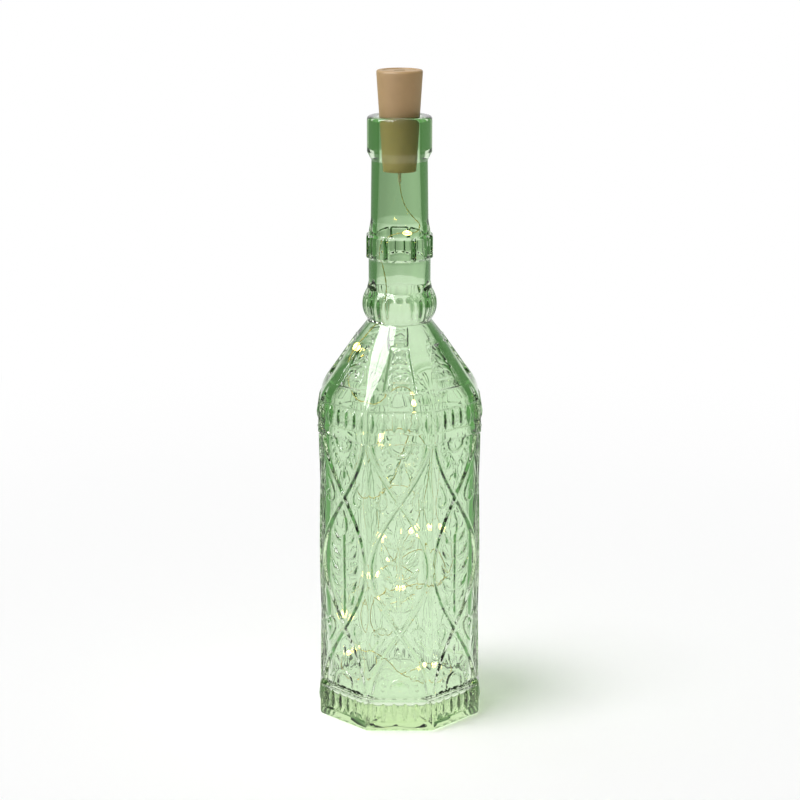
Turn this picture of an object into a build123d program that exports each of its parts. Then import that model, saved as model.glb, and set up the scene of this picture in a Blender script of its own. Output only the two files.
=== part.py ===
from build123d import *
import math
import os

# Cork bottle light: an eight-sided pressed-glass bottle, a stopper moulded like a cork that holds
# three button cells and a slide switch, and a string of small lights that hangs in the bottle.
# Millimetres, +Z up, origin at the middle of the base, front face towards -Y.

# Glass bottle, outside: heights are stacked from the base up, radii grow outwards from the mouth
side_count = 8
base_round = 2.5
band_apothem = 41.2
band_step = 1.5
band_ramp = 3.2
lower_band_height = 20.5
panel_height = 130.5
upper_band_height = 10.7
shoulder_bend = 26.9
shoulder_rise = 36.3
shoulder_overhang = 6.95
shoulder_top_rounding = 0.9
waist_rise = 9.2
waist_step = 0.35
knop_rise = 8.2
knop_swell = 2.55
collar_rise = 7.6
collar_swell = 0.55
throat_height = 16.0
block_ring_height = 12.0
block_stand = 1.05
block_slot_width = 1.9
block_slot_depth = 1.3
block_edge = 0.9
neck_step = 1.15
neck_flare = 7.0
neck_height = 37.0
neck_draw = 0.4
lip_swell = 2.15
lip_height = 22.0
lip_undercut = 4.2
lip_edge = 1.9

# Glass bottle, relief pressed in its outside
lens_length = 69.4
lens_half_width = 14.8
lens_cross_height = 31.5
rib_width = 1.8
rib_stand = 0.9
motif_stand = 0.7
sprig_gap = 6.5
stem_width = 1.4
first_leaf_rise = 5.7
leaf_pairs = 5
leaf_pitch = 8.3
leaf_rise = 6.0
leaf_width = 2.2
leaf_reach_share = 0.65
tip_leaf_length = 15.0
tip_leaf_width = 2.4
arch_radius = 5.4
arch_width = 1.6
seed_rise = 17.6
seed_length = 5.8
seed_width = 2.1
side_seed_across = 4.9
side_seed_rise = 13.3
side_seed_length = 3.9
scroll_across = 9.5
scroll_radius = 2.8
scroll_tail = 10.0
scroll_tail_lean = 1.9
scroll_width = 1.3
arc_sides = 3
flute_count = 6
flute_pitch = 5.6
flute_length = 9.6
flute_width = 2.6
flute_stand = 0.75
lower_flute_height = 10.9
upper_flute_rise = 12.0
shoulder_panel_foot_width = 16.2
shoulder_panel_head_width = 8.4
shoulder_panel_depth = 0.8
shoulder_panel_margin = 1.2
knop_flute_count = 24
knop_flute_width = 3.4
knop_flute_depth = 0.55

# Glass bottle, inside
wall = 3.3
mouth_wall = 3.8
shoulder_wall = 3.0
floor_thickness = 11.0
floor_dome = 1.6
floor_round = 9.0
cavity_corner_radius = 13.0
dish_radius = 29.0
dish_depth = 1.5
mouth_radius = 10.25
mouth_bore_length = 24.0
mouth_edge = 1.1

# Stopper
stopper_seat_clearance = 0.15
stopper_taper_share = 1 / 15
stopper_above_lip = 22.5
stopper_in_neck = 27.5
stopper_top_round = 1.2
stopper_bottom_round = 0.6
bay_depth = 36.0
bay_radius = 7.1
lid_radius = 8.0
lid_thickness = 2.4
lid_sink = 0.3
lid_notch_width = 5.0
lid_notch_depth = 1.1
sleeve_radius = 0.8
sleeve_drop = 5.5

# Cells and what holds them
cell_count = 3
cell_radius = 5.8
cell_height = 5.4
cell_cap_radius = 4.7
cell_cap_height = 0.4
carrier_wall = 1.05
carrier_length = 29.0
carrier_floor = 1.6
strip_thickness = 0.3
strip_width = 2.6
strip_bend = 0.5
plate_radius = 4.4
tongue_radius = 0.9
contact_foot = 3.4
contact_rise_share = 0.45
board_thickness = 1.0
board_clearance = 0.1
contact_gap = 0.3
resistor_length = 2.0
resistor_width = 1.2
resistor_height = 0.5

# Switch
switch_length = 8.4
switch_width = 4.4
switch_height = 5.0
knob_length = 3.0
knob_width = 2.2
knob_sink = 0.3
knob_stem = 1.4
knob_stem_depth = 1.5
switch_travel = 2.0

# String of lights
wire_diameter = 0.6
wire_side_count = 4
drop_length = 4.4
drop_radius = 1.3
chip_length = 1.0
chip_width = 0.6
chip_height = 0.4
chip_gap = 0.05
run_trim_share = 0.45

# Clearances and the overrun of cuts
clearance = 0.1
running_clearance = 0.15
overrun = 1.0

# Worked out from the sizes above
half_turn = math.pi / side_count
face_apothem = band_apothem - band_step
upper_band_low = lower_band_height + panel_height
first_cross_height = lower_band_height + lens_cross_height
shoulder_spring_height = upper_band_low + upper_band_height
shoulder_top_height = shoulder_spring_height + shoulder_rise
waist_height = shoulder_top_height + waist_rise
knop_height = waist_height + knop_rise
collar_height = knop_height + collar_rise
block_ring_low = collar_height + throat_height
block_ring_top = block_ring_low + block_ring_height
lip_low = block_ring_top + neck_height
glass_height = lip_low + lip_height
neck_top_radius = mouth_radius + mouth_wall
neck_low_radius = neck_top_radius + neck_draw
throat_radius = neck_low_radius + neck_step
waist_radius = throat_radius + waist_step
knop_radius = waist_radius + knop_swell
collar_radius = waist_radius + collar_swell
block_apothem = throat_radius + block_stand
lip_radius = neck_top_radius + lip_swell
shoulder_top_apothem = waist_radius + shoulder_overhang
# The shoulder rises upright from the band in an arc, and leaves it on the straight slope to its top
bend_across = shoulder_top_apothem - (band_apothem - shoulder_bend)
bend_angle = math.atan2(shoulder_rise, bend_across)
shoulder_lean = bend_angle - math.acos(shoulder_bend / math.hypot(bend_across, shoulder_rise))
shoulder_low_apothem = band_apothem - shoulder_bend * (1 - math.cos(shoulder_lean))
shoulder_low_height = shoulder_spring_height + shoulder_bend * math.sin(shoulder_lean)
shoulder_slope = math.hypot(shoulder_low_apothem - shoulder_top_apothem, shoulder_top_height - shoulder_low_height)
stopper_top = glass_height + stopper_above_lip
stopper_bottom = glass_height - stopper_in_neck
stopper_seat_radius = mouth_radius - stopper_seat_clearance
stopper_top_radius = stopper_seat_radius + stopper_above_lip * stopper_taper_share
stopper_bottom_radius = stopper_seat_radius - stopper_in_neck * stopper_taper_share
bay_floor = stopper_top - bay_depth
lid_top = stopper_top - lid_sink
lid_low = lid_top - lid_thickness
carrier_radius = bay_radius - running_clearance
carrier_low = lid_low - carrier_length
cell_pocket_radius = carrier_radius - carrier_wall
stack_low = carrier_low + carrier_floor + strip_thickness
stack_top = stack_low + cell_count * cell_height
strip_top = stack_top + clearance + strip_thickness
sleeve_low = stopper_bottom - sleeve_drop
board_top = bay_floor + board_thickness

# The wire's route, chosen by hand: down the neck, across the shoulder and in loose loops to the floor.
# It is listed in spans, and the run from each span to the next carries a light.
route_spans = [
    [
        (0, 0, sleeve_low),
        (0.6, -0.5, 271.5),
        (2.4, -1.2, 265.5),
        (6.5, -2.2, 259.6),
        (10.3, -3.0, 256.2),
        (8.8, -3.2, 251.0),
    ],
    [
        (-1.6, -3.0, 251.5),
        (-7.0, -3.6, 248.2),
        (-9.0, -3.6, 241.5),
        (-7.4, -3.2, 233.8),
        (-6.4, -3.0, 225.6),
        (-7.2, -3.8, 216.5),
        (-8.6, -3.2, 208.6),
        (-12.8, -5.0, 202.2),
    ],
    [
        (-22.4, -9.2, 190.0),
        (-27.0, -14.5, 178.5),
        (-21.5, -21.0, 169.0),
        (-10.0, -23.5, 169.0),
        (-1.0, -23.0, 179.0),
        (7.4, -20.4, 176.4),
    ],
    [
        (7.6, -17.4, 160.2),
        (2.4, -20.0, 145.5),
        (-2.0, -21.2, 132.0),
        (-8.6, -24.6, 121.5),
        (-18.0, -25.6, 119.5),
        (-22.5, -22.5, 129.5),
        (-17.5, -21.0, 143.6),
    ],
    [
        (-4.0, -23.2, 157.0),
        (6.5, -26.0, 156.0),
        (15.5, -23.5, 148.5),
        (20.0, -19.5, 136.0),
        (17.0, -17.0, 122.5),
        (12.6, -15.4, 109.4),
    ],
    [
        (26.0, -17.0, 95.4),
        (27.5, -18.5, 84.0),
        (20.5, -20.0, 73.5),
        (8.5, -20.5, 69.0),
        (-1.0, -23.0, 78.0),
        (-0.8, -26.2, 93.2),
    ],
    [
        (12.5, -22.6, 111.5),
        (8.0, -16.5, 122.0),
        (-3.0, -12.5, 124.5),
        (-13.0, -9.5, 117.5),
        (-13.6, -10.2, 105.4),
    ],
    [
        (-4.4, -17.8, 85.2),
        (5.5, -14.6, 78.6),
        (11.5, -10.0, 69.5),
        (3.5, -7.6, 60.5),
        (-8.5, -8.6, 56.5),
        (-18.5, -10.6, 60.0),
        (-21.0, -15.0, 70.5),
    ],
    [
        (-3.5, -13.2, 82.5),
        (7.5, -16.0, 90.0),
        (18.5, -22.0, 92.5),
        (23.0, -26.0, 83.5),
        (20.0, -28.5, 74.0),
        (9.8, -27.4, 76.4),
    ],
    [
        (-9.2, -24.6, 69.4),
        (-18.5, -22.0, 61.5),
        (-17.5, -24.5, 50.0),
        (-7.0, -22.0, 44.0),
        (-1.5, -14.0, 48.5),
        (-8.5, -7.5, 54.0),
        (-14.0, -2.5, 62.0),
        (-21.5, -2.0, 66.5),
        (-26.8, -8.6, 61.4),
    ],
    [
        (-28.6, -19.4, 46.8),
        (-20.5, -17.0, 38.5),
        (-12.0, -14.5, 28.0),
        (-15.5, -9.0, 16.5),
        (-26.5, -10.5, 17.0),
        (-31.0, -15.5, 31.0),
    ],
    [
        (-19.0, -28.5, 41.4),
        (-7.5, -29.5, 36.5),
        (-1.5, -24.0, 26.5),
        (8.0, -15.5, 18.0),
        (20.0, -11.5, 15.5),
        (27.5, -14.5, 22.5),
        (23.6, -18.6, 30.6),
    ],
    [
        (7.0, -21.4, 27.2),
        (0.5, -17.5, 22.5),
    ],
]
route = [point for span in route_spans for point in span]


def save(shape, node):
    """Write one sub-part under its node name."""
    export_step(shape, f"parts/{node}.step")


def turned(shape, count):
    """The shape repeated in even steps round Z."""
    return [shape.rotate(Axis.Z, step * 360 / count) for step in range(count)]


def revolved(outline):
    """A solid from an outline of (radius, height) edges round Z."""
    return revolve(make_face(Plane.XZ * outline), Axis.Z)


def cylinder(radius, low, top):
    """An upright cylinder round Z."""
    return extrude(Plane.XY.offset(low) * Circle(radius), top - low)


def block(length, width, low, top, x=0, y=0):
    """An upright block centred on x, y."""
    return extrude(Plane.XY.offset(low) * Pos(x, y) * Rectangle(length, width), top - low)


def octagon(apothem, low, height):
    """An upright eight-sided prism with a face towards -Y."""
    flat = Plane.XY.offset(low) * Rot(0, 0, math.degrees(half_turn))
    return extrude(flat * RegularPolygon(apothem, side_count, major_radius=False), height)


def bottle_sides():
    """The eight-sided body and shoulder: one silhouette, extruded in four directions and crossed."""
    shoulder_foot = (shoulder_low_apothem, shoulder_low_height)
    shoulder_head = (shoulder_top_apothem, shoulder_top_height)
    half = Polyline((0, 0), (band_apothem - base_round, 0))
    half += TangentArc((band_apothem - base_round, 0), (band_apothem, base_round), tangent=(1, 0))
    half += Polyline(
        (band_apothem, base_round),
        (band_apothem, lower_band_height - band_ramp),
        (face_apothem, lower_band_height),
        (face_apothem, upper_band_low),
        (band_apothem, upper_band_low + band_ramp),
        (band_apothem, shoulder_spring_height),
    )
    half += TangentArc((band_apothem, shoulder_spring_height), shoulder_foot, tangent=(0, 1))
    half += Line(shoulder_foot, shoulder_head)
    slope = Vector(*shoulder_head) - Vector(*shoulder_foot)
    half += TangentArc(shoulder_head, (waist_radius, waist_height), tangent=slope)
    half += Line((waist_radius, waist_height), (0, waist_height))
    silhouette = make_face(Plane.XZ * (half + mirror(half, Plane.YZ)))
    slab = extrude(silhouette, 2 * band_apothem, both=True)
    sides = slab
    for step in range(1, side_count // 2):
        sides &= slab.rotate(Axis.Z, step * 360 / side_count)
    # The corners fade out where the shoulder turns round into the neck
    corner_reach = band_apothem / math.cos(half_turn) + overrun
    fade = Polyline(
        (0, 0),
        (corner_reach, 0),
        (corner_reach, shoulder_low_height),
        (shoulder_top_apothem + shoulder_top_rounding, shoulder_top_height),
        (waist_radius, waist_height),
        (0, waist_height),
        (0, 0),
    )
    return sides & revolved(fade)


def bottle_neck():
    """The round parts above the shoulder: fluted knop, throat, neck and lip."""
    outline = Polyline((0, shoulder_top_height), (waist_radius, shoulder_top_height), (waist_radius, waist_height))
    outline += ThreePointArc(
        (waist_radius, waist_height),
        (knop_radius, knop_height),
        (collar_radius, collar_height),
    )
    outline += Polyline(
        (collar_radius, collar_height),
        (throat_radius, collar_height + throat_height / 4),
        (throat_radius, block_ring_top),
        (neck_low_radius, block_ring_top + neck_flare),
        (neck_top_radius, lip_low),
        (lip_radius, lip_low + lip_undercut),
        (lip_radius, glass_height - lip_edge),
    )
    outline += TangentArc(
        (lip_radius, glass_height - lip_edge),
        (lip_radius - lip_edge, glass_height),
        tangent=(0, 1),
    )
    outline += Polyline((lip_radius - lip_edge, glass_height), (0, glass_height), (0, shoulder_top_height))
    groove = Polygon(
        (knop_radius - knop_flute_depth, 0),
        (knop_radius + knop_flute_depth, -knop_flute_width),
        (knop_radius + knop_flute_depth, knop_flute_width),
        align=None,
    )
    flute = extrude(Plane.XY.offset(waist_height + overrun) * groove, collar_height - waist_height - overrun)
    return revolved(outline) - turned(flute, knop_flute_count)


def block_ring():
    """Eight flat blocks round the throat, parted by upright slots."""
    ring = octagon(block_apothem, block_ring_low, block_ring_height)
    rims = ring.edges().group_by(Axis.Z)
    ring = chamfer(rims[0] + rims[-1], block_edge)
    corner = block_apothem / math.cos(half_turn)
    slot = block(
        2 * (corner - block_apothem + block_slot_depth),
        block_slot_width,
        block_ring_low - overrun,
        block_ring_top + overrun,
        x=corner,
    ).rotate(Axis.Z, math.degrees(half_turn))
    return ring - turned(slot, side_count)


def raised_on_face(sketch, stand):
    """The front face's relief from a flat drawing of (across, height), rooted in the glass."""
    front = Plane(origin=(0, overrun - face_apothem, 0), x_dir=(1, 0, 0), z_dir=(0, -1, 0))
    return extrude(front * sketch, stand + overrun, dir=(0, -1, 0))


def rib_swing(height):
    """How far across the face a rib is at a height."""
    return lens_half_width * math.sin(math.pi * (height - first_cross_height) / lens_length)


def lens_ribs():
    """The two ribs of the front face that swing from side to side and cross to form long lenses."""
    low = lower_band_height - band_ramp / 2
    top = upper_band_low + band_ramp / 2
    heights = [low, first_cross_height, first_cross_height + lens_length, top]
    ribs = []
    for side in (-1, 1):
        line = None
        for start, end in zip(heights, heights[1:]):
            points = [(side * rib_swing(height), height) for height in (start, (start + end) / 2, end)]
            arc = ThreePointArc(*points)
            line = arc if line is None else line + arc
        ribs.append(raised_on_face(trace(line, rib_width), rib_stand))
    return ribs


def drawn(points):
    """A flat outline from its corners, whichever way round they come."""
    area = sum(a[0] * b[1] - b[0] * a[1] for a, b in zip(points, points[1:] + points[:1]))
    return Polygon(*(points if area > 0 else points[::-1]), align=None)


def arc_points(radius, x, y, side=1, up=1):
    """Corners of a half ring that starts beside its centre and goes over it."""
    turns = [math.pi * step / arc_sides for step in range(arc_sides + 1)]
    return [(side * (x + radius * math.cos(turn)), y + up * radius * math.sin(turn)) for turn in turns]


def diamond(width, length):
    """A pointed leaf or seed, drawn flat."""
    return drawn([(-width / 2, 0), (0, -length / 2), (width / 2, 0), (0, length / 2)])


def leaf_sprig():
    """The sprig in the middle lens: a stem, pairs of leaves that rise from it, and one leaf at its tip."""
    low = first_cross_height + sprig_gap
    first_root = low + first_leaf_rise
    stem_top = first_root + leaf_pairs * leaf_pitch - leaf_pitch / 2
    sprig = Pos(0, (low + stem_top) / 2) * Rectangle(stem_width, stem_top - low)
    sprig += Pos(0, stem_top - stem_width + tip_leaf_length / 2) * diamond(tip_leaf_width, tip_leaf_length)
    for number in range(leaf_pairs):
        root = first_root + number * leaf_pitch
        reach = leaf_reach_share * rib_swing(root + leaf_rise)
        bend = root + leaf_rise / 4
        leaf = [
            (0, root - leaf_width / 4),
            (reach * 2 / 3, bend - leaf_width / 4),
            (reach, root + leaf_rise),
            (reach / 2, bend + leaf_width / 2),
            (0, root + leaf_width / 4),
        ]
        sprig += drawn(leaf)
        sprig += drawn([(-across, height) for across, height in leaf])
    return raised_on_face(sprig, motif_stand)


def half_lens_motifs():
    """In the half lenses at the face's ends: an arch that stands on the band, and seeds above it."""
    outer = arch_radius + arch_width / 2
    inner = arch_radius - arch_width / 2
    motifs = []
    for band, up in ((lower_band_height, 1), (upper_band_low, -1)):
        foot = band - up * band_ramp / 2
        arch = [(outer, foot)] + arc_points(outer, 0, band, up=up) + [(-outer, foot), (-inner, foot)]
        arch += arc_points(inner, 0, band, up=up)[::-1] + [(inner, foot)]
        motifs.append(raised_on_face(drawn(arch), motif_stand))
        seed = Pos(0, band + up * seed_rise) * diamond(seed_width, seed_length)
        motifs.append(raised_on_face(seed, motif_stand))
        lean = math.degrees(math.atan2(side_seed_across, side_seed_rise))
        for side in (-1, 1):
            place = Pos(side * side_seed_across, band + up * side_seed_rise) * Rot(0, 0, -side * up * lean)
            motifs.append(raised_on_face(place * diamond(seed_width, side_seed_length), motif_stand))
    return motifs


def scrolls():
    """The hooked scrolls on both sides of each place where the ribs cross."""
    hooks = []
    for cross, up in ((first_cross_height, 1), (first_cross_height + lens_length, -1)):
        for side in (-1, 1):
            outline = arc_points(scroll_radius + scroll_width / 2, scroll_across, cross, side, up)
            outline += [(side * (scroll_across + scroll_tail_lean), cross - up * scroll_tail)]
            outline += arc_points(scroll_radius - scroll_width / 2, scroll_across, cross, side, up)[::-1]
            hooks.append(raised_on_face(drawn(outline), motif_stand))
    return hooks


def band_flutes():
    """The front face's raised flutes: pointed ovals side by side on both bands."""
    flutes = []
    # The sloping sides start below the surface, so the outline there is that much larger
    inner_radius = flute_width * flute_length / 2 / math.hypot(flute_width, flute_length)
    growth = (inner_radius + band_step / 2) / inner_radius
    for height in (lower_flute_height, upper_band_low + upper_flute_rise):
        base = Plane(origin=(0, band_step / 2 - band_apothem, height), x_dir=(1, 0, 0), z_dir=(0, -1, 0))
        for number in range(flute_count):
            place = base * Pos((number - (flute_count - 1) / 2) * flute_pitch, 0)
            half_width = growth * flute_width / 2
            half_length = growth * flute_length / 2
            oval = Polygon(
                (-half_width, 0),
                (0, -half_length),
                (half_width, 0),
                (0, half_length),
                align=None,
            )
            flutes.append(extrude(place * oval, band_step / 2 + flute_stand, taper=45))
    return flutes


def shoulder_panel():
    """The cut that sinks the front slope's panel, with a border left standing round it."""
    low = shoulder_panel_margin
    top = shoulder_slope - shoulder_panel_margin
    slope = Plane(
        origin=(0, -shoulder_low_apothem, shoulder_low_height),
        x_dir=(1, 0, 0),
        z_dir=(0, -math.cos(shoulder_lean), math.sin(shoulder_lean)),
    )
    outline = Polygon(
        (-shoulder_panel_foot_width / 2, low),
        (shoulder_panel_foot_width / 2, low),
        (shoulder_panel_head_width / 2, top),
        (-shoulder_panel_head_width / 2, top),
        align=None,
    )
    return extrude(slope.offset(-shoulder_panel_depth) * outline, shoulder_panel_depth + overrun)


def bottle_cavity():
    """The hollow: a round-cornered octagon below, round in the neck, drawn in at the mouth."""
    inner_apothem = face_apothem - wall
    inner_reach = inner_apothem / math.cos(half_turn)
    floor_edge = (inner_reach - floor_round, floor_thickness)
    floor_rise = (inner_reach, floor_thickness + floor_round)
    shoulder_foot = (shoulder_low_apothem - shoulder_wall, shoulder_low_height)
    shoulder_head = (shoulder_top_apothem - shoulder_wall, shoulder_top_height)
    band_edge = (inner_reach, upper_band_low)
    outline = TangentArc((0, floor_thickness + floor_dome), floor_edge, tangent=(1, 0))
    outline += TangentArc(floor_edge, floor_rise, tangent=(1, 0))
    outline += Line(floor_rise, band_edge)
    outline += TangentArc(band_edge, shoulder_foot, tangent=(0, 1))
    outline += Polyline(
        shoulder_foot,
        shoulder_head,
        (waist_radius - wall, waist_height + shoulder_wall / 2),
        (waist_radius - wall, knop_height),
        (throat_radius - wall, block_ring_low + block_ring_height / 2),
        (neck_low_radius - wall, block_ring_top + neck_flare),
        (mouth_radius, glass_height - mouth_bore_length),
        (mouth_radius, glass_height - mouth_edge),
        (mouth_radius + mouth_edge, glass_height),
        (mouth_radius + mouth_edge, glass_height + overrun),
        (0, glass_height + overrun),
        (0, floor_thickness + floor_dome),
    )
    inside = octagon(inner_apothem, 0, glass_height + 2 * overrun)
    inside = fillet(inside.edges().filter_by(Axis.Z), cavity_corner_radius)
    return revolved(outline) & inside


def bottle():
    """The pressed-glass bottle, with its relief and a shallow dish under its base."""
    dish_ball = (dish_radius**2 + dish_depth**2) / (2 * dish_depth)
    dish = Pos(0, 0, dish_depth - dish_ball) * Sphere(dish_ball)
    relief = []
    for shape in lens_ribs() + [leaf_sprig()] + half_lens_motifs() + scrolls() + band_flutes():
        relief += turned(shape, side_count)
    glass = bottle_sides() + bottle_neck() + block_ring() + relief
    return glass - turned(shoulder_panel(), side_count) - bottle_cavity() - dish


def stopper_shell():
    """The tapered stopper with its battery bay, lid recess and wire channel."""
    outline = Polyline(
        (0, stopper_bottom),
        (stopper_bottom_radius, stopper_bottom),
        (stopper_top_radius, stopper_top),
        (0, stopper_top),
        (0, stopper_bottom),
    )
    shell = revolved(outline)
    rims = shell.edges().filter_by(GeomType.CIRCLE).sort_by(Axis.Z)
    shell = fillet(rims[-1], stopper_top_round)
    shell = fillet(shell.edges().filter_by(GeomType.CIRCLE).sort_by(Axis.Z)[0], stopper_bottom_round)
    shell -= cylinder(lid_radius + running_clearance, lid_low - clearance, stopper_top + overrun)
    shell -= cylinder(bay_radius, bay_floor, stopper_top)
    shell -= cylinder(sleeve_radius + clearance, stopper_bottom - overrun, bay_floor + overrun)
    return shell


def bent_strip(points, width):
    """A strip of contact metal that follows points in the XZ plane."""
    line = FilletPolyline(*points, radius=strip_bend)
    return extrude(Plane.XZ * trace(line, strip_thickness), width / 2, both=True)


def leaf_contact(x, reach):
    """A leaf contact on the board: a foot, and a tongue that rises under the carrier."""
    low = board_top + strip_thickness / 2
    top = carrier_low - contact_gap - strip_thickness / 2
    rise = contact_foot * contact_rise_share
    points = [
        (x - reach * contact_foot / 2, low),
        (x - reach * (contact_foot / 2 - rise), low),
        (x + reach * (contact_foot / 2 - rise / 2), top),
        (x + reach * contact_foot, top),
    ]
    return bent_strip(points, tongue_radius * 2)


def positive_strip():
    """Plate on the cells, leg down the carrier's back and foot under its floor."""
    top = strip_top - strip_thickness / 2
    back = carrier_radius - strip_thickness
    foot = carrier_low + strip_thickness / 2
    points = [(0, top), (back, top), (back, foot), (cell_pocket_radius / 2, foot)]
    strip = bent_strip(points, strip_width) + cylinder(plate_radius, strip_top - strip_thickness, strip_top)
    return strip.rotate(Axis.Z, 90)


def negative_plate():
    """Plate under the cells with a round tongue through the carrier's floor."""
    plate = cylinder(plate_radius, stack_low - strip_thickness, stack_low)
    return plate + cylinder(tongue_radius, carrier_low, stack_low - strip_thickness)


def battery_carrier():
    """The round tray: open at the front for the cells, with a pocket for the switch above them."""
    tray = cylinder(carrier_radius, carrier_low, lid_low)
    tray -= cylinder(cell_pocket_radius, stack_low - strip_thickness, strip_top)
    tray -= block(
        2 * cell_pocket_radius,
        carrier_radius + overrun,
        stack_low - strip_thickness,
        strip_top,
        y=-(carrier_radius + overrun) / 2,
    )
    tray -= block(
        switch_length + 2 * clearance,
        switch_width + 2 * clearance,
        lid_low - switch_height - clearance,
        lid_low + overrun,
    )
    tray -= cylinder(tongue_radius + clearance, carrier_low - overrun, stack_low)
    groove = block(
        strip_width + 2 * clearance,
        carrier_radius,
        carrier_low - overrun,
        strip_top,
        y=carrier_radius - strip_thickness * 2 - strip_bend + carrier_radius / 2,
    )
    foot_groove = block(
        strip_width + 2 * clearance,
        carrier_radius,
        carrier_low - overrun,
        carrier_low + strip_thickness + clearance,
        y=cell_pocket_radius / 2 - clearance + carrier_radius / 2,
    )
    arm_slot = block(
        strip_width + 2 * clearance,
        carrier_radius + overrun,
        strip_top - strip_thickness - strip_bend,
        strip_top,
        y=(carrier_radius + overrun) / 2,
    )
    return tray - groove - foot_groove - arm_slot


def cell(low):
    """A button cell: a can with a smaller cap below."""
    can = cylinder(cell_radius, low + cell_cap_height, low + cell_height)
    return can + cylinder(cell_cap_radius, low, low + cell_cap_height)


def cartridge_lid():
    """The inset disc with the switch slot and a notch for a fingernail."""
    lid = cylinder(lid_radius, lid_low, lid_top)
    lid -= block(
        knob_length + switch_travel + 2 * clearance,
        knob_width + 2 * clearance,
        lid_low - overrun,
        lid_top + overrun,
    )
    lid -= block(
        lid_notch_width,
        2 * lid_notch_depth,
        lid_top - lid_notch_depth,
        lid_top + overrun,
        y=lid_radius,
    )
    return lid


def switch_case():
    """The slide switch's case, slotted for the knob's stem."""
    case = block(switch_length, switch_width, lid_low - switch_height, lid_low)
    return case - block(
        knob_stem + switch_travel + 2 * clearance,
        knob_stem + 2 * clearance,
        lid_low - knob_stem_depth - clearance,
        lid_low + overrun,
    )


def switch_knob():
    """The slider, at the near end of its travel."""
    x = -switch_travel / 2
    knob = block(knob_length, knob_width, lid_low + clearance, lid_top - knob_sink, x=x)
    return knob + block(knob_stem, knob_stem, lid_low - knob_stem_depth, lid_low + clearance, x=x)


def route_corners():
    """Each corner's trim along its runs and its arc's radius."""
    points = [Vector(*point) for point in route]
    corners = []
    for before, at, after in zip(points, points[1:], points[2:]):
        turn = math.radians((at - before).get_angle(after - at))
        trim = run_trim_share * min((at - before).length, (after - at).length)
        corners.append((trim, trim / math.tan(turn / 2)))
    return corners


def light_wire(corners):
    """The wire, six-sided, as straight runs joined by tangent arcs."""
    path = FilletPolyline(*route, radius=[radius for trim, radius in corners])
    start = Vector(*route[0])
    outline = RegularPolygon(wire_diameter / 2, wire_side_count)
    section = Plane(origin=start, z_dir=Vector(*route[1]) - start) * outline
    wire = sweep(section, path=path)
    straight = outline.area * path.length
    print("wire length", round(path.length, 1), "volume", round(wire.volume, 2), "of", round(straight, 2))
    return wire


def light_places(corners):
    """A plane at the middle of each straight stretch that carries a light, its Z along the wire."""
    trims = [0] + [trim for trim, radius in corners] + [0]
    places = []
    run = -1
    for span in route_spans[:-1]:
        run += len(span)
        start = Vector(*route[run])
        end = Vector(*route[run + 1])
        along = (end - start).normalized()
        middle = (start + along * trims[run] + end - along * trims[run + 1]) / 2
        places.append(Plane(origin=middle, x_dir=along.cross(Vector(0, 0, 1)), z_dir=along))
    return places


def light_chip():
    """The light's chip, on one side of the wire, with the wire along Z."""
    x = (wire_diameter + chip_height) / 2 + chip_gap
    return Pos(x, 0, 0) * Box(chip_height, chip_width, chip_length)


def light_drop():
    """The clear resin drop round the chip and the wire, with the wire along Z."""
    half = drop_length / 2
    lemon = ThreePointArc((0, -half), (drop_radius, 0), (0, half))
    drop = revolve(make_face(Plane.XZ * (lemon + Line((0, half), (0, -half)))), Axis.Z)
    return drop - cylinder(wire_diameter / 2, -half, half) - light_chip()


os.makedirs("parts", exist_ok=True)
save(bottle(), "bottle")
save(stopper_shell(), "cork_shell")
save(cylinder(sleeve_radius, sleeve_low, bay_floor), "wire_sleeve")
save(cylinder(bay_radius - board_clearance, bay_floor, board_top), "contact_board")
save(leaf_contact(-contact_foot / 2, 1), "centre_contact")
save(leaf_contact(bay_radius - 2 * board_clearance - contact_foot / 2, -1).rotate(Axis.Z, 90), "outer_contact")
resistor = block(resistor_length, resistor_width, board_top, board_top + resistor_height, y=-bay_radius / 2)
save(resistor, "resistor")
save(cartridge_lid(), "cartridge_lid")
save(battery_carrier(), "battery_carrier")
for number in range(cell_count):
    save(cell(stack_low + number * cell_height), f"cell_{number + 1}")
save(positive_strip(), "positive_strip")
save(negative_plate(), "negative_plate")
save(switch_case(), "switch_case")
save(switch_knob(), "switch_knob")

corners = route_corners()
print("wire radii", [round(radius, 1) for trim, radius in corners])
save(light_wire(corners), "light_wire")
places = light_places(corners)
for number, place in enumerate(places, 1):
    save(place * light_drop(), f"led_drop_{number:02d}")
save(Compound(children=[place * light_chip() for place in places]), "led_chips")
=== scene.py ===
import math

import bmesh
import bpy
import numpy as np
from mathutils import Matrix, Vector


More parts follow.
